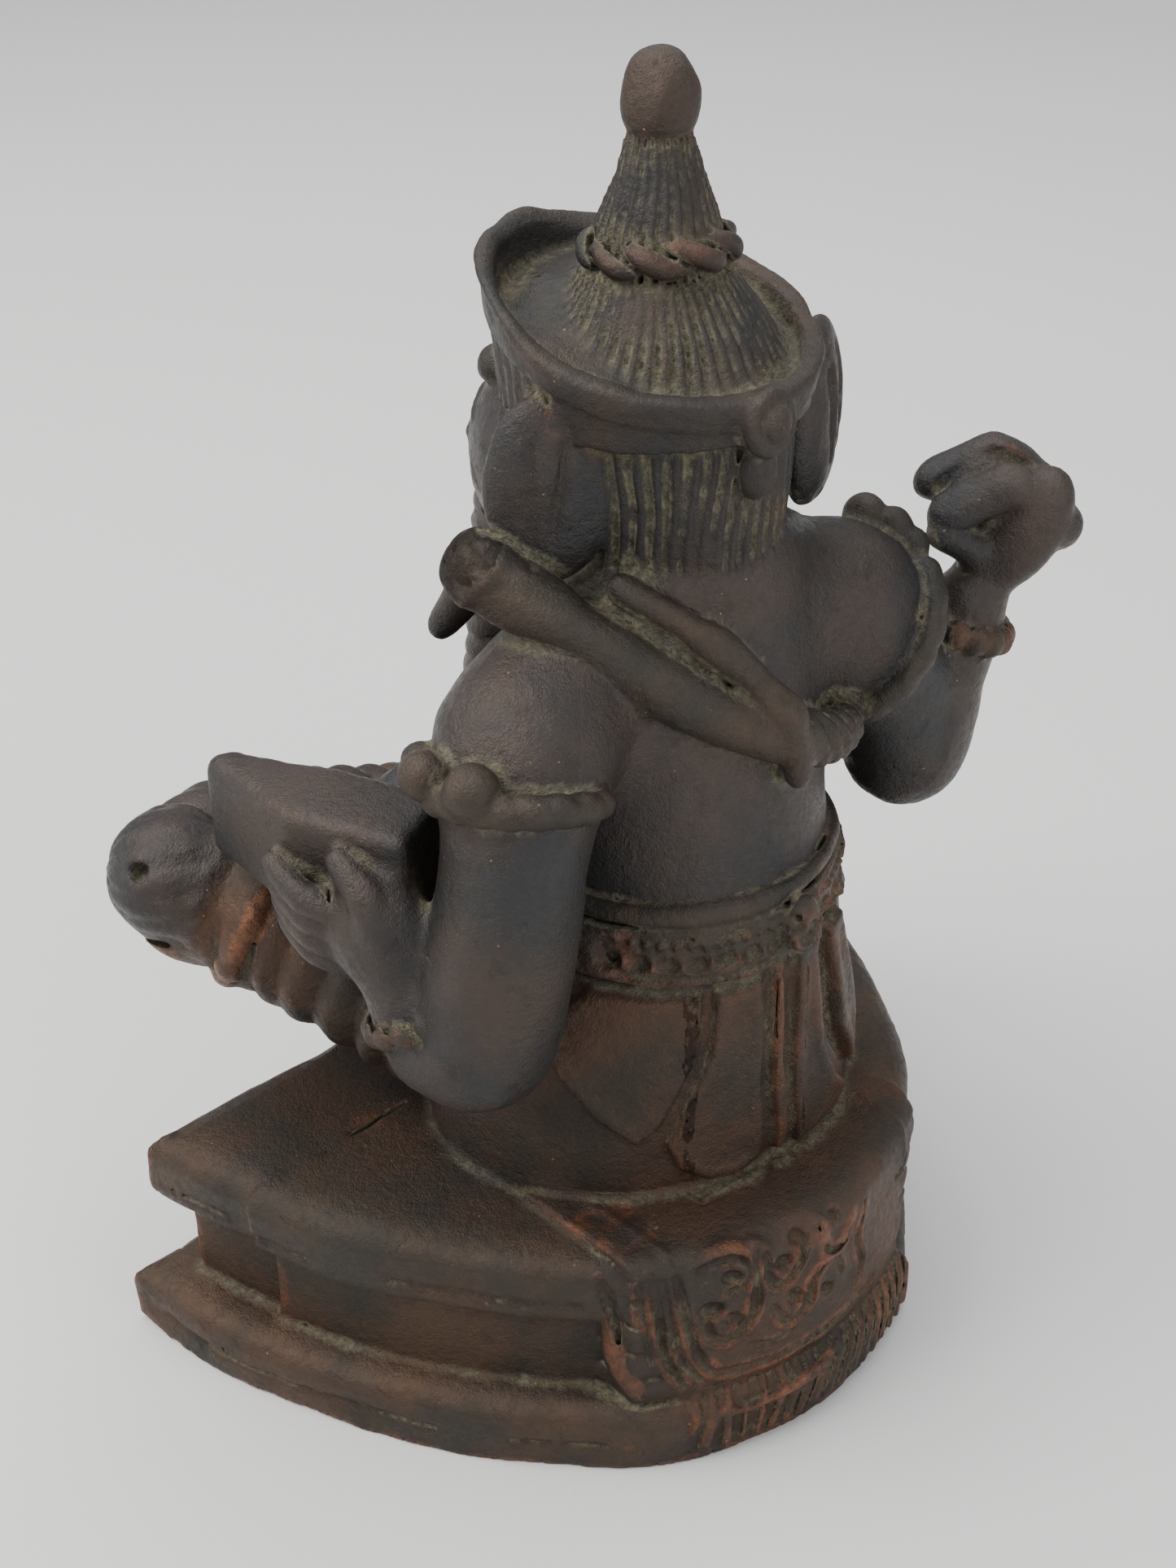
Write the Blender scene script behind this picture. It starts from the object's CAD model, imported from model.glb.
import math

import bpy
import numpy as np
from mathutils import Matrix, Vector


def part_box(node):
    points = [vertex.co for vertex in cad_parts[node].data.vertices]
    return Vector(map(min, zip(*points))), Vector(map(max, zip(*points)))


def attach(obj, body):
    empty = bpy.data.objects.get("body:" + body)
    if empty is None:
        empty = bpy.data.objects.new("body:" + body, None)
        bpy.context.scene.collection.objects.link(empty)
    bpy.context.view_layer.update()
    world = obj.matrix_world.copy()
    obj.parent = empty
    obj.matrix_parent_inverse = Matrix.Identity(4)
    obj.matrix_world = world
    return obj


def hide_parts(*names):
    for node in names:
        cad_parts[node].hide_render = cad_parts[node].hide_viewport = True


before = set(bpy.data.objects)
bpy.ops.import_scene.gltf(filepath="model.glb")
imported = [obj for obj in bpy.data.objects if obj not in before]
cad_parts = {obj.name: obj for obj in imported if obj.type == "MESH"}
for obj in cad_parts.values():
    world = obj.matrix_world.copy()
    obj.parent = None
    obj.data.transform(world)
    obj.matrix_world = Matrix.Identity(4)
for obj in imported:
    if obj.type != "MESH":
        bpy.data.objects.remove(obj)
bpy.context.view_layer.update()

import openvdb
from mathutils import Vector

MM = 0.001
STEP = 0.3
REACH = 2.7
SEAM = 0.8
SPREAD = 75.0

# The left and middle panels share a strip. It is split at this angle round an upright axis at this y.
PANEL_AXIS = 1.5
PANEL_SPLIT = math.radians(54.6)

# How wide a fillet each piece gets where it joins the pieces before it, in millimetres. The order
# is the order of modelling: bodies first, then what is laid on them.
FILLETS = [
    ("plinth_foot", 0.4), ("plinth_front_waist", 0.5), ("plinth_drum_waist", 0.5),
    ("plinth_front_roll", 0.5), ("plinth_drum_roll", 0.5),
    ("seat_cloth_field", 1.0), ("seat_cloth_borders", 1.0), ("seat_cloth_fringe", 0.6),
    ("hips", 0.6), ("torso", 0.6), ("belly", 3.0), ("head", 1.4), ("hair", 0.8), ("trunk", 1.6),
    ("left_upper_arm", 3.5), ("right_upper_arm", 3.5), ("left_forearm", 1.8), ("right_forearm", 1.8),
    ("left_thigh", 1.0), ("right_thigh", 1.0), ("left_knee", 1.2), ("right_knee", 1.2),
    ("left_shin", 1.0), ("right_shin", 1.0), ("right_foot", 1.2), ("left_foot", 1.2),
    ("left_knee_hem", 0.6), ("right_knee_hem", 0.6),
    ("held_block", 0.4), ("left_palm", 1.6), ("right_palm", 1.8), ("left_fingers", 0.6),
    ("right_fingers", 0.7), ("left_ear", 1.0), ("right_ear", 1.0), ("left_tusk", 0.8), ("right_tusk", 0.8),
    ("dhoti_panel_left", 0.3), ("dhoti_panel_middle", 0.3), ("dhoti_panel_right", 0.3),
    ("dhoti_sash", 0.3), ("belt_band", 0.3), ("belt_cord", 0.4), ("belt_gem", 0.3),
    ("crown_lower_cone", 0.5), ("crown_upper_cone", 0.5), ("crown_rope_ring", 0.5),
    ("crown_finial", 0.6), ("diadem", 0.5), ("diadem_rosette", 0.4), ("diadem_jewels", 0.4),
    ("serpent_body", 0.5), ("serpent_head", 1.2), ("serpent_tail", 0.5),
    ("left_armlet_band", 0.4), ("left_armlet_beads", 0.4), ("right_armlet_band", 0.5),
    ("right_armlet_beads", 0.4), ("left_bracelet", 0.4), ("right_bracelet", 0.5),
]
SLOTS = {
    "plinth_bronze": ["plinth_foot", "plinth_front_waist", "plinth_drum_waist", "plinth_front_roll",
                      "plinth_drum_roll"],
    "drapery_bronze": ["seat_cloth_field", "seat_cloth_borders", "seat_cloth_fringe", "hips", "left_thigh",
                       "right_thigh", "left_shin", "right_shin", "left_knee_hem", "right_knee_hem",
                       "dhoti_panel_left", "dhoti_panel_middle", "dhoti_panel_right", "dhoti_sash"],
    "skin_bronze": ["torso", "belly", "head", "trunk", "left_ear", "right_ear", "left_tusk", "right_tusk",
                    "left_upper_arm", "right_upper_arm", "left_forearm", "right_forearm", "left_palm",
                    "right_palm", "left_fingers", "right_fingers", "left_knee", "right_knee", "left_foot",
                    "right_foot", "held_block"],
    "crown_bronze": ["hair", "crown_lower_cone", "crown_upper_cone", "crown_rope_ring", "crown_finial",
                     "diadem", "diadem_rosette", "diadem_jewels"],
    "ornament_bronze": ["belt_band", "belt_cord", "belt_gem", "serpent_body", "serpent_head",
                        "serpent_tail", "left_armlet_band", "left_armlet_beads", "right_armlet_band",
                        "right_armlet_beads", "left_bracelet", "right_bracelet"],
}


# ------------------------------------------------------------------ the lattice

def low_high(node):
    """Lowest and highest corners of a CAD node in millimetres."""
    low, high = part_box(node)
    return np.array(low) / MM, np.array(high) / MM


BOXES = {name: low_high(name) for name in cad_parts}
MARGIN = REACH + 0.6
LOW = np.min([box[0] for box in BOXES.values()], axis=0) - MARGIN
HIGH = np.max([box[1] for box in BOXES.values()], axis=0) + MARGIN
FIRST = np.floor(LOW / STEP).astype(int)
COUNT = np.ceil(HIGH / STEP).astype(int) - FIRST + 1
AXES = [((FIRST[i] + np.arange(COUNT[i])) * STEP).astype(np.float32) for i in range(3)]


def centre_of(node):
    """Centre of a CAD node's box in millimetres."""
    return (BOXES[node][0] + BOXES[node][1]) / 2


def window(low, high):
    """Slices of the lattice that cover a box."""
    start = np.maximum(np.floor(np.asarray(low) / STEP).astype(int) - FIRST, 0)
    stop = np.minimum(np.ceil(np.asarray(high) / STEP).astype(int) - FIRST + 1, COUNT)
    return tuple(slice(int(start[i]), int(max(stop[i], start[i] + 1))) for i in range(3))


def around(node, margin=MARGIN):
    """Slices of the lattice round a CAD node."""
    return window(BOXES[node][0] - margin, BOXES[node][1] + margin)


def grids(where):
    """Coordinates of a part of the lattice, ready to broadcast."""
    return (AXES[0][where[0]][:, None, None], AXES[1][where[1]][None, :, None],
            AXES[2][where[2]][None, None, :])


def smooth_min(a, b, blend):
    """Union of two distances with a fillet of about the blend width."""
    near = np.maximum(blend - np.abs(a - b), 0) / np.float32(blend)
    return np.minimum(a, b) - near * near * np.float32(blend * 0.25)


def ramp(value, start, end):
    """0 below start, 1 above end, and a smooth rise between them."""
    t = np.clip((value - start) / (end - start), 0, 1)
    return t * t * (3 - 2 * t)


def noise(where, spacing, seed):
    """Smooth random field whose features are about the spacing, mean 0 and size about 1."""
    cells = int(2 * SPREAD / spacing) + 5
    random = np.random.default_rng(seed).standard_normal((cells, cells, cells)).astype(np.float32)
    field = random
    for axis, middle in enumerate((0.0, 0.0, 70.0)):
        place = (AXES[axis][where[axis]] - middle + SPREAD) / spacing + 1
        base = np.floor(place).astype(int)
        t = place - base
        weights = np.zeros((len(place), cells), np.float32)
        rows = np.arange(len(place))
        for offset, weight in ((-1, (1 - t) ** 3 / 6), (0, (3 * t ** 3 - 6 * t ** 2 + 4) / 6),
                               (1, (-3 * t ** 3 + 3 * t ** 2 + 3 * t + 1) / 6), (2, t ** 3 / 6)):
            weights[rows, np.clip(base + offset, 0, cells - 1)] += weight
        field = np.moveaxis(np.tensordot(weights, field, axes=(1, axis)), 0, axis)
    return field * np.float32(2.2)


def level_set(node, where):
    """Signed distance to a CAD node on a part of the lattice, held within REACH."""
    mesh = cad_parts[node].data
    mesh.calc_loop_triangles()
    points = np.zeros(len(mesh.vertices) * 3, np.float32)
    mesh.vertices.foreach_get("co", points)
    corners = np.zeros(len(mesh.loop_triangles) * 3, np.int32)
    mesh.loop_triangles.foreach_get("vertices", corners)
    grid = openvdb.FloatGrid.createLevelSetFromPolygons(
        points.reshape(-1, 3) / np.float32(MM), triangles=corners.reshape(-1, 3).astype(np.uint32),
        transform=openvdb.createLinearTransform(STEP), halfWidth=REACH / STEP)
    values = np.empty([part.stop - part.start for part in where], np.float32)
    grid.copyToArray(values, ijk=tuple(int(FIRST[i]) + where[i].start for i in range(3)))
    return values


# ------------------------------------------------------------------ one merged form

form = np.full(tuple(COUNT), REACH, np.float32)
nearest = np.full(tuple(COUNT), REACH, np.float32)
second = np.full(tuple(COUNT), REACH, np.float32)
own = {}
for node, fillet in FILLETS:
    where = around(node)
    distance = level_set(node, where)
    if node in ("dhoti_panel_left", "dhoti_panel_middle"):
        x, y, _ = grids(where)
        beyond = (y - PANEL_AXIS) * math.cos(PANEL_SPLIT) - x * math.sin(PANEL_SPLIT)
        distance = np.maximum(distance, beyond if node == "dhoti_panel_left" else -beyond)
    own[node] = distance
    form[where] = smooth_min(form[where], distance, fillet)
    second[where] = np.minimum(second[where], np.maximum(nearest[where], distance))
    nearest[where] = np.minimum(nearest[where], distance)


def others(node, where=None):
    """Distance to the nearest CAD node that is not this one."""
    where = where or around(node)
    mine = own[node]
    return np.where(mine <= nearest[where] + 1e-5, second[where], nearest[where])


def share(node, width=0.6):
    """1 where a point belongs to a node, 0 where it belongs to its neighbours."""
    return 1 - ramp((own[node] - others(node)) / 2, -width / 2, width / 2)


# ------------------------------------------------------------------ carving tools

def carve(node, depth):
    """Lower a node's surface by a depth field, or raise it where the depth is negative."""
    where = around(node)
    form[where] += share(node) * depth


def value_at(points):
    """The merged form's distance at scattered points."""
    place = np.asarray(points, float) / STEP - FIRST
    place = np.clip(place, 0, COUNT - 2)
    base = place.astype(int)
    t = place - base
    total = np.zeros(len(base))
    for dx in (0, 1):
        for dy in (0, 1):
            for dz in (0, 1):
                weight = (np.abs(1 - dx - t[:, 0]) * np.abs(1 - dy - t[:, 1]) * np.abs(1 - dz - t[:, 2]))
                total += weight * form[base[:, 0] + dx, base[:, 1] + dy, base[:, 2] + dz]
    return total


def press(points, heading, reach=9.0):
    """Slide points along their headings from outside until they meet the surface."""
    points = np.asarray(points, float)
    heading = np.broadcast_to(np.asarray(heading, float), points.shape)
    heading = heading / np.linalg.norm(heading, axis=1, keepdims=True)
    travel = np.full(len(points), -reach)
    moving = np.ones(len(points), bool)
    for _ in range(int(2 * reach / 0.2)):
        moving &= value_at(points + heading * travel[:, None]) > 0
        travel[moving] += 0.2
    return points + heading * travel[:, None]


def curve(points, per_span=5):
    """A smooth line through points, as many short steps."""
    points = np.asarray(points, float)
    padded = np.vstack([2 * points[0] - points[1], points, 2 * points[-1] - points[-2]])
    made = []
    for i in range(1, len(padded) - 2):
        a, b, c, d = padded[i - 1:i + 3]
        for t in np.arange(per_span) / per_span:
            made.append(0.5 * (2 * b + (c - a) * t + (2 * a - 5 * b + 4 * c - d) * t * t
                               + (3 * b - a - 3 * c + d) * t ** 3))
    made.append(padded[-2])
    return np.array(made)


def tube(points, radii):
    """Window and distance of a cord of varying radius along a line of points."""
    points = np.asarray(points, float)
    radii = np.broadcast_to(np.asarray(radii, float), len(points))
    reach = radii.max() + 1.2
    where = window(points.min(axis=0) - reach, points.max(axis=0) + reach)
    distance = np.full([part.stop - part.start for part in where], 9.0, np.float32)
    corner = np.array([part.start for part in where])
    for i in range(len(points) - 1):
        a, b = points[i], points[i + 1]
        near = window(np.minimum(a, b) - reach, np.maximum(a, b) + reach)
        x, y, z = grids(near)
        run = b - a
        length = max(float(run @ run), 1e-9)
        t = np.clip(((x - a[0]) * run[0] + (y - a[1]) * run[1] + (z - a[2]) * run[2]) / length, 0, 1)
        gap = np.sqrt((x - a[0] - t * run[0]) ** 2 + (y - a[1] - t * run[1]) ** 2
                      + (z - a[2] - t * run[2]) ** 2) - (radii[i] + t * (radii[i + 1] - radii[i]))
        local = tuple(slice(near[k].start - corner[k], near[k].stop - corner[k]) for k in range(3))
        distance[local] = np.minimum(distance[local], gap)
    return where, distance


def lay(points, radii, fillet=0.3):
    """Add a cord to the form."""
    where, distance = tube(points, radii)
    form[where] = smooth_min(form[where], distance, fillet)


def groove(points, radii, fillet=0.3):
    """Cut a cord's shape out of the form."""
    where, distance = tube(points, radii)
    form[where] = -smooth_min(-form[where], distance, fillet)


def taper(count, size, tip=0.45):
    """Radii that are full in the middle of a line and thin at both ends."""
    t = np.linspace(-1, 1, count)
    return size * (tip + (1 - tip) * np.sqrt(np.maximum(1 - t * t, 0)))


def wrapped(axis, pairs, reach=30.0):
    """Points on the surface round an upright axis, from (degrees from +X, level) pairs."""
    pairs = np.asarray(pairs, float)
    angle = np.radians(pairs[:, 0])
    outward = np.stack([np.cos(angle), np.sin(angle), np.zeros(len(angle))], axis=1)
    middle = np.stack([np.full(len(angle), axis[0]), np.full(len(angle), axis[1]), pairs[:, 1]], axis=1)
    return press(middle + outward * reach, -outward, reach - 4)


def polar(node, where):
    """Angle round a node's upright middle axis, and the distance from it."""
    x, y, _ = grids(where)
    middle = centre_of(node)
    return np.arctan2(y - middle[1], x - middle[0]), np.hypot(x - middle[0], y - middle[1])


def ribs(phase):
    """0 on rounded ridges and 1 in the sharp valleys between them, once every full turn of the phase."""
    return 1 - np.abs(np.cos(phase / 2))


def flutes(node, count, depth, wobble, seed):
    """Irregular upright ridges round a turned piece."""
    where = around(node)
    turn, _ = polar("crown_lower_cone" if node.startswith("crown") else node, where)
    turn = turn + wobble * noise(where, 5.0, seed)
    strength = 0.75 + 0.3 * noise(where, 3.0, seed + 1)
    carve(node, depth * ribs(turn * count) * strength)


def uneven(nodes, spacing, depth, seed):
    """Soft unevenness of hand-modelled wax."""
    for node in nodes:
        carve(node, depth * noise(around(node), spacing, seed))


def fill_to(where, solid, fillet):
    """Add a solid given as a distance on part of the lattice."""
    form[where] = smooth_min(form[where], solid.astype(np.float32), fillet)


def ring_frame(node):
    """Centre of a bent cord, the direction of its hole, and one direction across it."""
    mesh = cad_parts[node].data
    points = np.zeros(len(mesh.vertices) * 3)
    mesh.vertices.foreach_get("co", points)
    points = points.reshape(-1, 3) / MM
    middle = centre_of(node)
    _, _, rows = np.linalg.svd(points - points.mean(axis=0), full_matrices=False)
    return middle, rows[2], rows[0]


def cross_marks(node, count, depth, lean=0.0):
    """Short grooves across a cord that is bent round a limb."""
    middle, hole, across = ring_frame(node)
    other = np.cross(hole, across)
    where = around(node)
    x, y, z = grids(where)
    along = (x - middle[0]) * hole[0] + (y - middle[1]) * hole[1] + (z - middle[2]) * hole[2]
    a = (x - middle[0]) * across[0] + (y - middle[1]) * across[1] + (z - middle[2]) * across[2]
    b = (x - middle[0]) * other[0] + (y - middle[1]) * other[1] + (z - middle[2]) * other[2]
    carve(node, depth * ribs(np.arctan2(b, a) * count + lean * along))


def along_marks(node, heading, pitch, depth, seed, wobble=0.5):
    """Grooves square to a heading, one every pitch, each a little crooked."""
    where = around(node)
    x, y, z = grids(where)
    place = x * heading[0] + y * heading[1] + z * heading[2] + wobble * noise(where, 4.0, seed)
    carve(node, depth * ribs(place * 2 * math.pi / pitch) * (0.8 + 0.3 * noise(where, 3.0, seed + 1)))


# ------------------------------------------------------------------ modelling marks

ALL = [node for node, _ in FILLETS]

# Crown: two fluted cones, a twisted rope between them, and a flat-sided knob on top.
flutes("crown_lower_cone", 46, 0.95, 0.03, 11)
flutes("crown_upper_cone", 28, 0.8, 0.04, 15)
where = around("crown_rope_ring")
x, y, z = grids(where)
middle = centre_of("crown_rope_ring")
turn = np.arctan2(y - middle[1], x - middle[0])
ROPE_SLOPE = 0.105
ROPE_RING_RADIUS = 5.9
ROPE_STRANDS = 9
round_cord = np.arctan2(z - middle[2] - (y - middle[1]) * ROPE_SLOPE,
                        np.hypot(x - middle[0], y - middle[1]) - ROPE_RING_RADIUS)
carve("crown_rope_ring", ribs(ROPE_STRANDS * turn + 2 * round_cord))

# Flats on the knob: the direction each one faces, and its distance from the knob's middle.
KNOB_FLATS = [((0.95, 0.2, 0.25), 3.1), ((0.1, 0.98, -0.1), 3.2), ((-0.8, 0.5, 0.3), 3.4),
              ((0.5, -0.8, 0.2), 3.3), ((0.6, 0.65, 0.6), 3.75)]
knob = centre_of("crown_finial")
where = around("crown_finial")
x, y, z = grids(where)
kept = share("crown_finial") > 0.5
for heading, cut in KNOB_FLATS:
    flat = (x - knob[0]) * heading[0] + (y - knob[1]) * heading[1] + (z - knob[2]) * heading[2] - cut
    form[where] = np.where(kept, -smooth_min(-form[where], -flat, 0.9), form[where])

# Diadem: small upright ticks on the front of its outer band.
BRIM_SLOPE = 0.25
TICKS = 46
where = around("diadem")
x, y, z = grids(where)
turn, radius = polar("crown_lower_cone", where)
lip = centre_of("crown_lower_cone")[2] + 1.2 - BRIM_SLOPE * y
front = ramp(-np.sin(turn - 0.35), -0.1, 0.35)
carve("diadem", 0.5 * front * ribs(TICKS * turn) * ramp(lip - z, 1.6, 2.6))
flutes("hair", 42, 1.1, 0.03, 21)

# Gutter between the diadem and the lower cone, filled nearly to the rim with a slope of old dust.
# The wall is the diadem's outer face. The lobes and their lip are centred on the inset inside it.
DIADEM_BASE_RADIUS = 14.6
DIADEM_FLARE = 0.15
WALL_INSET = 0.7
where = around("diadem")
x, y, z = grids(where)
_, radius = polar("crown_lower_cone", where)
rise = z - BOXES["diadem"][0][2]
wall = DIADEM_BASE_RADIUS + DIADEM_FLARE * rise
brim = centre_of("crown_lower_cone")[2] + 1.0 - BRIM_SLOPE * y
silt = brim - 1.3 + 0.28 * (wall - radius) + 0.3 * noise(where, 3.0, 41)
fill_to(where, np.maximum(np.maximum(radius - wall + WALL_INSET, z - silt), 0.3 - rise), 0.8)

# Front lobes of the diadem stand a little higher than its back, and a rounded lip runs along them.
lobe = 2.6 * ramp(x * 0.6 - y * 0.8, 6.0, 15.0) + 0.25 * noise(where, 4.0, 42)
crest = np.maximum(np.abs(radius - wall + WALL_INSET) - 0.85, np.maximum(z - brim - lobe, brim - 2.0 - z))
fill_to(where, crest, 0.9)
lip_cord = np.hypot(radius - wall + WALL_INSET, z - brim - lobe + 0.4) - 0.95
fill_to(where, lip_cord, 0.6)

# Dhoti: raised petals with rolled hems on a base over the hips, and deep grooves between them.
# A petal is an outline of (degrees round the hips from +X, level) corners.
PETALS = [
    [(24, 52), (57, 52), (56, 45), (51, 41), (45, 36.4), (40, 34.8), (28, 38), (18, 42), (10, 47)],
    [(60, 52), (59, 45), (53.5, 39.5), (47.5, 34.5), (50, 31.4), (58, 28.8), (68, 28.2), (76, 29.5),
     (77, 36), (76.5, 44), (75, 52)],
    [(79, 55), (82, 55), (84.5, 42), (87.5, 31), (85.5, 28.8), (82, 29.2), (80.5, 38), (79, 46)],
    [(89, 54), (98, 54), (101, 46), (104, 40), (112, 33), (119, 29.5), (112, 28.2), (92, 28.2), (89.5, 34),
     (88, 44)],
    [(106, 53), (118, 53), (134, 36), (128, 30), (116, 38)],
]
HIP_RADIUS = 21.0
HIP_AXIS = 2
BASE_THICKNESS = 1.3
BASE_LEVELS = (26.6, 52.5)


def inside_outline(across, level, corners):
    """Signed distance to a closed outline on the unrolled surface, negative inside."""
    near = np.full(np.broadcast(across, level).shape, 99.0, np.float32)
    inside = np.zeros(near.shape, bool)
    for number, end in enumerate(corners):
        start = corners[number - 1]
        run = (end[0] - start[0], end[1] - start[1])
        t = ((across - start[0]) * run[0] + (level - start[1]) * run[1]) / (run[0] ** 2 + run[1] ** 2)
        t = np.clip(t, 0, 1)
        near = np.minimum(near, np.hypot(across - start[0] - t * run[0], level - start[1] - t * run[1]))
        if run[1]:
            crossing = start[0] + (level - start[1]) / run[1] * run[0]
            inside ^= ((start[1] > level) != (end[1] > level)) & (across < crossing)
    return np.where(inside, -near, near)


where = around("hips")
x, y, z = grids(where)
base_ends = np.maximum(BASE_LEVELS[0] - z, z - BASE_LEVELS[1])
fill_to(where, np.maximum(own["hips"] - BASE_THICKNESS, base_ends), 0.4)
across = HIP_RADIUS * np.arctan2(y - HIP_AXIS, x) + 0.25 * noise(where, 5.0, 43)
near_hips = (1 - ramp(own["hips"], 2.2, 2.69)) * ramp(z, 27.4, 28.2)
raise_by = np.zeros(near_hips.shape, np.float32)
for corners in PETALS:
    outline = [(math.radians(angle) * HIP_RADIUS, level) for angle, level in corners]
    edge = inside_outline(across, z, outline)
    plate = 0.8 * (1 - ramp(edge, -0.4, 0.4))
    hem = 0.75 * np.exp(-((edge + 0.95) / 0.65) ** 2)
    rut = 1.3 * np.exp(-((edge - 0.8) / 0.65) ** 2)
    raise_by = np.maximum(raise_by, plate + hem) - np.where(raise_by < 0.2, rut, 0)
form[where] -= near_hips * raise_by

# Belt: pairs of leaning bars with dots between them, and a scored line above and below. The reach keeps
# the marks from starting so far out that they land on the arms.
BELT_REACH = 12.9
BELT_SPACING = 10.0
belt = centre_of("belt_band")
for number in range(int(360 / BELT_SPACING)):
    angle = number * BELT_SPACING
    for lean in (-2.6, 2.6):
        bar = wrapped(belt, [(angle + lean - 2.4, 57.6), (angle + lean, 55.2), (angle + lean + 1.2, 57.0)],
                      BELT_REACH)
        groove(bar, 0.5, 0.25)
    dot = wrapped(belt, [(angle - 0.4, 55.2), (angle + 0.8, 55.4)], BELT_REACH)
    groove(dot, 0.8, 0.3)
ringed = [(angle, 58.5) for angle in range(0, 361, 12)]
groove(curve(wrapped(belt, ringed, BELT_REACH), 2), 0.42, 0.25)
ringed = [(angle, 53.9) for angle in range(0, 361, 12)]
groove(curve(wrapped(belt, ringed, BELT_REACH), 2), 0.36, 0.25)

# Hanging cloth: two borders of blocks, a fringe on the foot, and a field of curling relief made of
# ridges with a groove along each, then pits and border lines, then a lappet.
where = around("seat_cloth_borders")
_, _, z = grids(where)
blocks = ribs((z + 0.3 * noise(where, 5.0, 51)) * 2 * math.pi / 3.4) ** 2
carve("seat_cloth_borders", 0.7 * blocks * (1 - ramp(z, 24.8, 25.8)))
along_marks("seat_cloth_fringe", (0.93, -0.3, 0.25), 1.9, 0.6, 53)
drum = (2.2, -5.3)


def on_cloth(pairs):
    """Points on the outer face of the hanging cloth, from (degrees round the drum, level) pairs."""
    return curve(wrapped(drum, pairs, 60.0))


for pairs, size in (
        ([(46.5, 25), (49, 19), (50, 14), (53, 10)], 0.6),
        ([(54.5, 25.5), (55.5, 22), (57, 15), (60, 10.5)], 0.65),
        ([(58.5, 25.5), (59.5, 22), (62, 15), (66, 11), (76, 10.2), (90, 10.2), (102, 10.6)], 0.6),
        ([(62.5, 26), (67, 26.4), (71, 25.2), (70, 22.6), (66.5, 22.2)], 0.7),
        ([(72, 26.4), (72.6, 22), (71.6, 18), (68, 15.6), (64.5, 16.6), (64, 18.6)], 0.75),
        ([(73.5, 26), (74.8, 22), (78, 20.6), (80.6, 22.6), (82, 24.8)], 0.65),
        ([(76, 17.6), (79, 14.6), (83, 15.6), (84, 19), (88, 20.6), (91, 17)], 0.65),
        ([(84.5, 26), (86.6, 22), (90.4, 21.6), (92.6, 25)], 0.6),
        ([(72, 13.4), (76, 12.6), (80, 12.8)], 0.55),
        ([(96, 25), (94.6, 20), (97.4, 15), (95, 12)], 0.6)):
    path = on_cloth(pairs)
    outward = path - np.array((drum[0], drum[1], 0.0))
    outward[:, 2] = 0
    outward /= np.linalg.norm(outward, axis=1, keepdims=True)
    lay(path - 0.9 * outward, taper(len(path), size + 1.0, 0.8), 0.4)
    groove(path + 0.2 * outward, taper(len(path), size - 0.05, 0.7), 0.3)
for pairs, size in (([(67.4, 24.3), (68.6, 24)], 0.8), ([(64, 20.4), (65.2, 20)], 1.0),
                    ([(80, 26), (81, 25.2)], 0.9), ([(87.6, 26), (88.4, 25.6)], 0.9),
                    ([(68, 18.4), (69, 18)], 0.8), ([(76, 23.8), (78, 23.6)], 0.7),
                    ([(80, 18), (81, 17)], 0.8), ([(86.6, 16.4), (88, 15.6)], 0.8),
                    ([(56.2, 25), (57.6, 20), (59.6, 14), (63, 10.4)], 0.45),
                    ([(52.4, 25), (53.4, 20), (54.6, 14)], 0.45)):
    groove(on_cloth(pairs), size, 0.3)
lappet = on_cloth([(59, 7.2), (63, 6.4), (70, 5.8), (78, 6), (86, 6.6), (92, 7.4)])
lay(lappet, taper(len(lappet), 0.7, 0.7), 0.35)

# The left thigh is filled out behind its knee.
lay([(27.0, -21.4, 46.8), (33.6, -29.8, 51.4)], [8.8, 7.4], 1.0)

# Thighs and shins: evenly spaced folds of cloth curving round the knee.
FOLD_PITCH = 3.7
for side, seed in (("left", 61), ("right", 63)):
    knee = centre_of(side + "_knee")
    for node in (side + "_thigh", side + "_shin"):
        where = around(node)
        x, y, z = grids(where)
        away = np.sqrt((x - knee[0]) ** 2 + (y - knee[1]) ** 2 + ((z - knee[2]) * 0.75) ** 2)
        away = away + 0.8 * noise(where, 6.0, seed)
        carve(node, 1.15 * ribs(away * 2 * math.pi / FOLD_PITCH) * ramp(away, 7.0, 9.0)
              * (0.8 + 0.35 * noise(where, 5.0, seed + 1)))
    cross_marks(side + "_knee_hem", 14, 0.22)

# Foot on the left knee: grooves across it and a pit beside it.
along_marks("right_foot", (0.75, 0.3, 0.6), 2.8, 0.8, 65)
pit = np.array((41.7, -31.9, 57.0))
groove([pit, pit + (0.6, 0.5, 0.2)], 1.1, 0.5)
cross_marks("left_knee", 13, 0.28, 0.6)

# Arms: marked armlets and bracelets.
for side, swell in (("left", 0.4), ("right", 0.9)):
    carve(side + "_armlet_band", -swell)
    cross_marks(side + "_armlet_band", 16, 0.25, 0.9)
cross_marks("left_bracelet", 15, 0.45)
cross_marks("right_bracelet", 15, 0.45)

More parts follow.
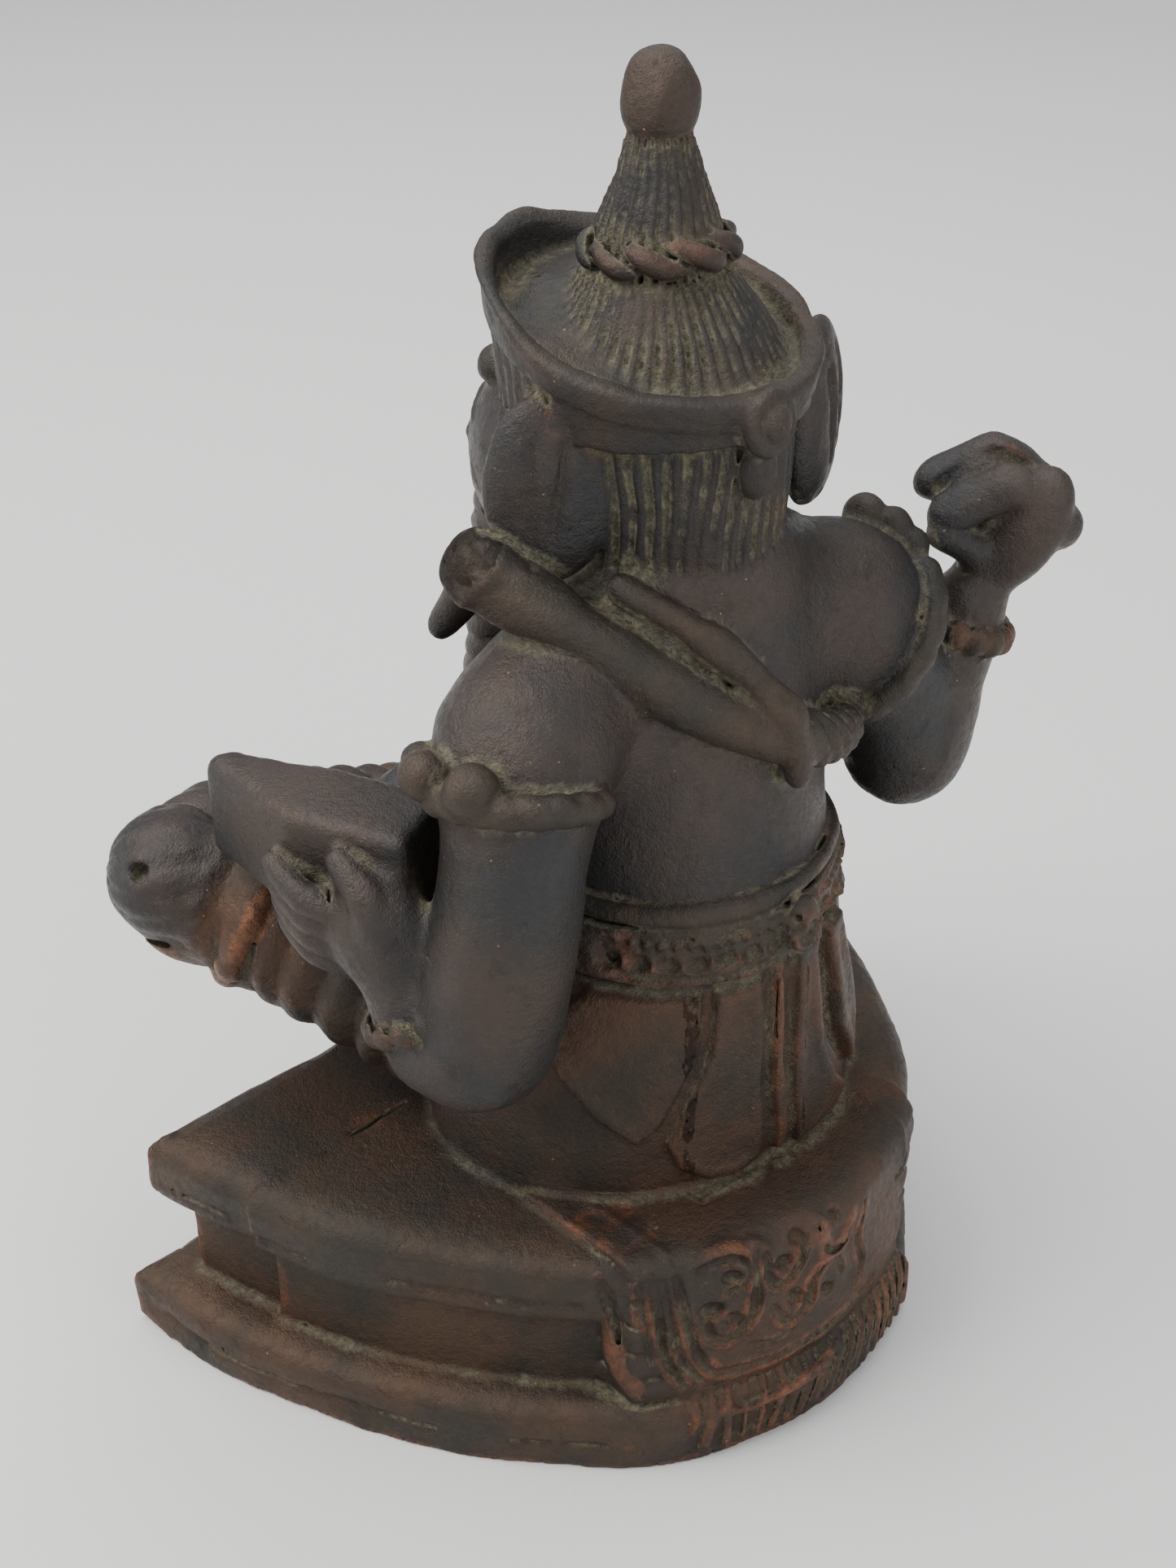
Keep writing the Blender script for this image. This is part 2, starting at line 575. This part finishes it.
# Right hand: fingers joined in two pairs, with a groove between the pairs. The first knuckle, the step
# from finger to finger, the runs along knuckle and tip, and the radius.
FIRST_KNUCKLE = np.array((-39.8, 19.8, 87.4))
FINGER_STEP = np.array((-0.9, -1.7, 1.0))
FINGER_RADIUS = 2.15
knuckle = np.array((2.4, -2.2, 2.8))
tip = np.array((4.6, -4.2, -2.6))
for pair_middle in (0.5, 2.5):
    start = FIRST_KNUCKLE + FINGER_STEP * pair_middle
    path = curve([start - knuckle * 0.6, start, start + knuckle, start + knuckle + tip * 0.55,
                  start + knuckle + tip * 1.15])
    lay(path, np.linspace(FINGER_RADIUS + 0.5, FINGER_RADIUS - 0.5, len(path)), 0.9)
start = FIRST_KNUCKLE + FINGER_STEP * 1.5
path = curve([start + knuckle * 0.6, start + knuckle * 1.5 + tip * 0.35, start + knuckle + tip * 1.25])
groove(path + np.array((-0.5, 0.7, 1.7)), 0.75, 0.4)

# Serpent: slanting hatch on one end, all of it swelled a little, two eyes and a mouth groove.
where = around("serpent_body")
x, y, z = grids(where)
hatch = ribs((x * 0.95 - z * 0.3) * 2 * math.pi / 1.9) * ramp(-x, 2.0, 6.0)
carve("serpent_body", 0.5 * hatch)
carve("serpent_body", -0.45)
carve("serpent_tail", -0.3)
cap = centre_of("serpent_head")
carve("serpent_head", -0.9)
for sign in (-1, 1):
    eye = cap + np.array((3.0 * sign, -1.6 - 0.6 * sign, 1.7))
    groove([eye + (0.5 * sign, 0, 0.9), eye + (0.8 * sign, 0.5, 0.9)], 0.6, 0.4)
groove(curve([cap + (3.4, -4.6, -0.8), cap + (0.4, -6.6, -0.9), cap + (-3.0, -4.8, -0.8)]), 0.55, 0.3)

# Ears: two soft upright grooves in each.
for side, sign in (("left", 1), ("right", -1)):
    ear = centre_of(side + "_ear")
    for across, low, high, size in ((2.6, -6.0, 6.5, 0.55), (0.2, -5.0, 5.0, 0.42)):
        marks = [(ear[0] + sign * (across + 0.6 * math.cos(step / 2.0)), 30.0,
                  ear[2] + low + (high - low) * step / 5.0) for step in range(6)]
        path = curve(press(marks, (0, -1, 0), 28.0))
        groove(path, taper(len(path), size), 0.8)

# Face: almond eyes under arched brows, and wrinkles across the trunk.
for sign in (-1, 1):
    for points, size, raise_it in (
            ([(3.4, 100.4), (5.6, 101.6), (7.8, 100.6), (5.6, 99.4), (3.4, 100.4)], 0.42, True),
            ([(2.6, 103.0), (5.6, 104.6), (8.8, 102.8)], 0.5, True),
            ([(4.8, 100.5), (6.2, 100.5)], 0.55, False)):
        path = curve(press([(sign * across, -40.0, level) for across, level in points], (0, 1, 0), 36.0))
        if raise_it:
            lay(path, taper(len(path), size, 0.7), 0.4)
        else:
            groove(path, size, 0.4)
along_marks("trunk", (0.1, -0.25, 1.0), 2.5, 0.5, 71)

# Plinth: scored lines along the roll and the foot, from one degree round the plinth to another.
for level, first, last in ((21.4, -28, 42), (3.4, -28, 52), (21.4, 108, 208), (3.4, 100, 208)):
    path = curve(wrapped((0.0, -2.0), [(angle, level) for angle in range(first, last, 5)], 70.0), 3)
    groove(path, 0.4, 0.4)

# Soft unevenness of hand-modelled wax, stronger on the plinth, and casting grain.
PLINTH = SLOTS["plinth_bronze"]
uneven(PLINTH, 9.0, 0.3, 81)
uneven([node for node in ALL if node not in PLINTH], 6.0, 0.17, 83)
uneven(ALL, 1.6, 0.07, 85)

# The underside is ground flat.
_, _, z = grids((slice(None), slice(None), slice(None)))
np.maximum(form, -z, out=form)


# ------------------------------------------------------------------ pieces

def polygons(field, start, adaptivity=0.0):
    """Surface of a distance field whose first cell is at a place on the lattice."""
    grid = openvdb.FloatGrid()
    grid.background = REACH
    grid.copyFromArray(np.ascontiguousarray(field), ijk=tuple(int(value) for value in start))
    grid.transform = openvdb.createLinearTransform(STEP)
    grid.gridClass = openvdb.GridClass.LEVEL_SET
    return grid.convertToPolygons(isovalue=0.0, adaptivity=adaptivity)


np.clip(form, -REACH, REACH, out=form)
skin_points, skin_triangles, skin_quads = polygons(form, FIRST)
skin = openvdb.FloatGrid.createLevelSetFromPolygons(
    skin_points, triangles=skin_triangles, quads=skin_quads,
    transform=openvdb.createLinearTransform(STEP), halfWidth=REACH / STEP)
carved = form
form = np.empty(tuple(COUNT), np.float32)
skin.copyToArray(form, ijk=tuple(int(value) for value in FIRST))
true_distance, form = form, carved


def sampled(field, points):
    """Values of a lattice field at scattered points in millimetres."""
    place = np.clip(points / STEP - FIRST, 0, COUNT - 1.001)
    base = place.astype(int)
    t = place - base
    total = np.zeros(len(base), np.float32)
    for corner in np.ndindex(2, 2, 2):
        weight = np.ones(len(base))
        for axis in range(3):
            weight *= t[:, axis] if corner[axis] else 1 - t[:, axis]
        total += weight * field[base[:, 0] + corner[0], base[:, 1] + corner[1], base[:, 2] + corner[2]]
    return total


def make_piece(node, adaptivity):
    """One closed piece: what belongs to a node, running on a little under its neighbours."""
    where = around(node)
    apart = (own[node] - others(node)) / 2
    field = np.maximum(form[where] + 0.5 * np.maximum(apart, 0) ** 2, apart - SEAM)
    for axis in range(3):
        edge = [slice(None)] * 3
        for end in (0, -1):
            edge[axis] = end
            field[tuple(edge)] = REACH
    start = [FIRST[i] + where[i].start for i in range(3)]
    points, triangles, quads = polygons(field, start, adaptivity)
    faces = [tuple(face) for face in triangles.tolist()] + [tuple(face) for face in quads.tolist()]
    mesh = bpy.data.meshes.new(node + "_look")
    mesh.from_pydata((points * MM).tolist(), [], faces)
    mesh.validate()
    mesh.update()
    normals = np.zeros(len(mesh.vertices) * 3, np.float32)
    mesh.vertex_normals.foreach_get("vector", normals)
    normals = normals.reshape(-1, 3)
    places = np.zeros(len(mesh.vertices) * 3, np.float32)
    mesh.vertices.foreach_get("co", places)
    places = places.reshape(-1, 3) / np.float32(MM)
    outward = sampled(true_distance, places + normals * 0.6)
    if np.mean(outward) < 0:
        mesh.flip_normals()
        normals = -normals
        outward = sampled(true_distance, places + normals * 0.6)
    facts = {
        "crease": 1 - outward / 0.6,
        "hollow": 1 - sampled(true_distance, places + normals * 2.0) / 2.0,
        "edge": 1 + sampled(true_distance, places - normals * 1.1) / 1.1,
    }
    for name, values in facts.items():
        attribute = mesh.attributes.new(name, "FLOAT", "POINT")
        attribute.data.foreach_set("value", np.clip(values, -1, 1).astype(np.float32))
    mesh.polygons.foreach_set("use_smooth", np.ones(len(mesh.polygons), bool))
    piece = bpy.data.objects.new(node + "_look", mesh)
    bpy.context.scene.collection.objects.link(piece)
    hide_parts(node)
    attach(piece, "root")
    return piece


# ------------------------------------------------------------------ bronze

class Graph:
    """Short names for building one material's nodes."""

    def __init__(self, name):
        self.material = bpy.data.materials.new(name)
        self.material.use_nodes = True
        self.tree = self.material.node_tree
        self.shader = self.tree.nodes["Principled BSDF"]
        self.place = self.tree.nodes.new("ShaderNodeMapping")
        self.place.inputs["Scale"].default_value = (1000, 1000, 1000)
        source = self.tree.nodes.new("ShaderNodeTexCoord")
        self.tree.links.new(source.outputs["Object"], self.place.inputs["Vector"])

    def set(self, socket, value):
        """Put a number, a colour or another node's output into a socket."""
        if isinstance(value, bpy.types.NodeSocket):
            self.tree.links.new(value, socket)
        else:
            socket.default_value = value

    def math(self, operation, a, b=0.0, clamp=False):
        node = self.tree.nodes.new("ShaderNodeMath")
        node.operation = operation
        node.use_clamp = clamp
        self.set(node.inputs[0], a)
        self.set(node.inputs[1], b)
        return node.outputs[0]

    def fact(self, name):
        node = self.tree.nodes.new("ShaderNodeAttribute")
        node.attribute_name = name
        return node.outputs["Fac"]

    def noise(self, size, detail=3.0, rough=0.55, warp=0.0):
        """Noise whose features are about the size in millimetres."""
        node = self.tree.nodes.new("ShaderNodeTexNoise")
        node.inputs["Scale"].default_value = 1.0 / size
        node.inputs["Detail"].default_value = detail
        node.inputs["Roughness"].default_value = rough
        node.inputs["Distortion"].default_value = warp
        self.tree.links.new(self.place.outputs["Vector"], node.inputs["Vector"])
        return node.outputs["Fac"]

    def cells(self, size):
        node = self.tree.nodes.new("ShaderNodeTexVoronoi")
        node.inputs["Scale"].default_value = 1.0 / size
        self.tree.links.new(self.place.outputs["Vector"], node.inputs["Vector"])
        return node.outputs["Distance"]

    def range(self, value, low, high, to_low=0.0, to_high=1.0):
        node = self.tree.nodes.new("ShaderNodeMapRange")
        node.interpolation_type = "SMOOTHSTEP"
        self.set(node.inputs["Value"], value)
        node.inputs["From Min"].default_value = low
        node.inputs["From Max"].default_value = high
        node.inputs["To Min"].default_value = to_low
        node.inputs["To Max"].default_value = to_high
        return node.outputs["Result"]

    def mix(self, share, a, b):
        node = self.tree.nodes.new("ShaderNodeMix")
        node.data_type = "RGBA"
        self.set(node.inputs["Factor"], share)
        self.set(node.inputs["A"], a)
        self.set(node.inputs["B"], b)
        return node.outputs["Result"]

    def upward(self):
        """How far the surface faces up."""
        node = self.tree.nodes.new("ShaderNodeNewGeometry")
        split = self.tree.nodes.new("ShaderNodeSeparateXYZ")
        self.tree.links.new(node.outputs["Normal"], split.inputs["Vector"])
        return split.outputs["Z"]


def bronze(name, dark, brown, copper, worn, dusty, shine=0.4):
    """Patinated bronze: dark skin, copper where it is rubbed, olive dust where it lies deep."""
    g = Graph(name)
    broad = g.noise(16.0, 3.0, 0.6)
    middle = g.noise(4.0, 4.0, 0.6, 0.4)
    fine = g.noise(0.8, 4.0, 0.65)
    grain = g.noise(0.22, 3.0, 0.7)
    colour = g.mix(g.range(broad, 0.36, 0.64), dark, brown)
    colour = g.mix(g.math("MULTIPLY", g.range(middle, 0.5, 0.72), 0.35), colour, (0.012, 0.0125, 0.013, 1))
    rub = g.math("ADD", g.math("MULTIPLY", g.math("MINIMUM", g.fact("edge"), 0.45), 1.5),
                 g.math("ADD", g.math("MULTIPLY", broad, 1.1), g.math("MULTIPLY", middle, 0.9)))
    rub = g.range(rub, 1.45 - worn, 2.0 - worn)
    rub = g.math("MULTIPLY", rub, g.range(g.fact("crease"), 0.05, 0.4, 1.0, 0.0))
    copper_tone = g.mix(g.range(fine, 0.35, 0.7), copper, tuple(c * 0.55 for c in copper[:3]) + (1,))
    colour = g.mix(g.math("MULTIPLY", rub, 0.85), colour, copper_tone)
    deep = g.math("ADD", g.math("MULTIPLY", g.fact("crease"), 1.1), g.math("MULTIPLY", g.fact("hollow"), 0.8))
    deep = g.math("ADD", deep, g.math("MULTIPLY", g.math("SUBTRACT", middle, 0.5), 0.9))
    deep = g.math("ADD", deep, g.math("MULTIPLY", g.math("MAXIMUM", g.upward(), 0.0), 0.22))
    dust = g.math("MULTIPLY", g.range(deep, 0.62 - dusty, 1.25 - dusty),
                  g.range(g.math("ADD", fine, g.math("MULTIPLY", grain, 0.5)), 0.55, 0.95, 0.25, 1.0))
    dust_tone = g.mix(g.range(broad, 0.4, 0.6), (0.175, 0.158, 0.095, 1), (0.13, 0.125, 0.08, 1))
    colour = g.mix(g.math("MULTIPLY", dust, 0.85), colour, dust_tone)
    powder = g.math("MULTIPLY", g.range(grain, 0.52, 0.68), g.range(middle, 0.42, 0.62))
    colour = g.mix(g.math("MULTIPLY", powder, 0.2), colour, dust_tone)
    fleck = g.math("MULTIPLY", g.range(g.cells(1.9), 0.075, 0.03), g.range(middle, 0.5, 0.6))
    colour = g.mix(g.math("MULTIPLY", fleck, 0.8), colour, (0.42, 0.2, 0.08, 1))
    g.set(g.shader.inputs["Base Color"], colour)
    g.set(g.shader.inputs["Metallic"], g.math("SUBTRACT", 0.72, g.math("MULTIPLY", dust, 0.7), True))
    rough = g.math("ADD", g.range(fine, 0.3, 0.75, shine, shine + 0.22), g.math("MULTIPLY", dust, 0.38))
    g.set(g.shader.inputs["Roughness"], g.math("SUBTRACT", rough, g.math("MULTIPLY", rub, 0.06), True))
    height = g.math("ADD", g.math("MULTIPLY", fine, 0.5), g.math("MULTIPLY", grain, 0.28))
    height = g.math("ADD", height, g.math("MULTIPLY", dust, 0.25))
    bump = g.tree.nodes.new("ShaderNodeBump")
    bump.inputs["Strength"].default_value = 0.75
    bump.inputs["Distance"].default_value = 0.0006
    g.set(bump.inputs["Height"], height)
    g.tree.links.new(bump.outputs["Normal"], g.shader.inputs["Normal"])
    return g.material


FINISHES = {
    "plinth_bronze": bronze("plinth_bronze", (0.036, 0.031, 0.025, 1), (0.072, 0.044, 0.029, 1),
                            (0.16, 0.068, 0.037, 1), 0.12, 0.2),
    "drapery_bronze": bronze("drapery_bronze", (0.038, 0.030, 0.024, 1), (0.080, 0.045, 0.029, 1),
                             (0.17, 0.071, 0.038, 1), 0.18, 0.2),
    "skin_bronze": bronze("skin_bronze", (0.035, 0.034, 0.034, 1), (0.056, 0.042, 0.035, 1),
                          (0.16, 0.070, 0.042, 1), -0.06, 0.2, 0.31),
    "ornament_bronze": bronze("ornament_bronze", (0.037, 0.034, 0.029, 1), (0.060, 0.044, 0.033, 1),
                              (0.15, 0.070, 0.042, 1), -0.06, 0.32),
    "crown_bronze": bronze("crown_bronze", (0.034, 0.032, 0.030, 1), (0.058, 0.042, 0.033, 1),
                           (0.14, 0.066, 0.041, 1), -0.16, 0.42),
}
SLOT_OF = {node: slot for slot, nodes in SLOTS.items() for node in nodes}
for node, _ in FILLETS:
    slot = SLOT_OF[node]
    piece = make_piece(node, 0.25 if slot == "plinth_bronze" else 0.06)
    piece.data.materials.append(FINISHES[slot])


# ------------------------------------------------------------------ floor, light and camera

def plain(name, colour, rough):
    material = bpy.data.materials.new(name)
    material.use_nodes = True
    shader = material.node_tree.nodes["Principled BSDF"]
    shader.inputs["Base Color"].default_value = colour
    shader.inputs["Roughness"].default_value = rough
    return material


def sweep(name, half_width, near, far, height, bend, steps=24):
    """A floor that curves up into a backdrop, seen from above and behind the figure."""
    profile = [(near, 0.0), (far - bend, 0.0)]
    profile += [(far - bend + bend * math.sin(math.pi / 2 * i / steps),
                 bend - bend * math.cos(math.pi / 2 * i / steps)) for i in range(1, steps + 1)]
    profile.append((far, height))
    away = Vector((-math.sin(math.radians(CAMERA_TURN)), math.cos(math.radians(CAMERA_TURN)), 0))
    side = Vector((-away.y, away.x, 0))
    corners = [tuple(away * run + side * half_width * sign + Vector((0, 0, rise)))
               for run, rise in profile for sign in (-1, 1)]
    faces = [(2 * i, 2 * i + 1, 2 * i + 3, 2 * i + 2) for i in range(len(profile) - 1)]
    mesh = bpy.data.meshes.new(name)
    mesh.from_pydata(corners, [], faces)
    mesh.polygons.foreach_set("use_smooth", np.ones(len(mesh.polygons), bool))
    made = bpy.data.objects.new(name, mesh)
    bpy.context.scene.collection.objects.link(made)
    return made


def area_light(name, place, aim, size, power, colour=(1, 1, 1)):
    light = bpy.data.lights.new(name, "AREA")
    light.energy = power
    light.size = size
    light.color = colour
    made = bpy.data.objects.new(name, light)
    made.location = place
    made.rotation_mode = "QUATERNION"
    made.rotation_quaternion = (Vector(place) - Vector(aim)).to_track_quat("Z", "Y")
    bpy.context.scene.collection.objects.link(made)
    return made


CAMERA_TURN = 135.0
CAMERA_RISE = 32.0
CAMERA_DISTANCE = 0.235
CAMERA_AIM = Vector((0.0, -0.008, 0.060))
floor = sweep("floor", 3.0, -1.5, 2.2, 2.5, 0.9)
floor.data.materials.append(plain("paper", (0.62, 0.62, 0.61, 1), 0.8))
turn, rise = math.radians(CAMERA_TURN), math.radians(CAMERA_RISE)
back = Vector((math.sin(turn) * math.cos(rise), -math.cos(turn) * math.cos(rise), math.sin(rise)))
right = Vector((-math.sin(turn), math.cos(turn), 0)).cross(Vector((0, 0, 1)))
camera_data = bpy.data.cameras.new("camera")
camera_data.lens = 50
camera_data.sensor_width = 36
camera_data.clip_start = 0.01
camera = bpy.data.objects.new("camera", camera_data)
camera.location = CAMERA_AIM + back * CAMERA_DISTANCE
camera.rotation_mode = "QUATERNION"
camera.rotation_quaternion = (-back).to_track_quat("-Z", "Y")
bpy.context.scene.collection.objects.link(camera)
bpy.context.scene.camera = camera
level_back = Vector((back.x, back.y, 0)).normalized()
aim = (0, 0, 0.06)
area_light("key", tuple(-right * 0.45 + level_back * 0.1 + Vector((0, 0, 0.55))), aim, 0.5, 6.5,
           (1, 0.98, 0.95))
area_light("fill", tuple(right * 0.5 + level_back * 0.45 + Vector((0, 0, 0.3))), aim, 0.6, 2.6)
area_light("top", tuple(-level_back * 0.25 + Vector((0, 0, 0.7))), aim, 0.7, 4.5)
world = bpy.data.worlds.new("studio")
world.use_nodes = True
world.node_tree.nodes["Background"].inputs["Color"].default_value = (0.9, 0.92, 0.95, 1)
world.node_tree.nodes["Background"].inputs["Strength"].default_value = 0.75
bpy.context.scene.world = world
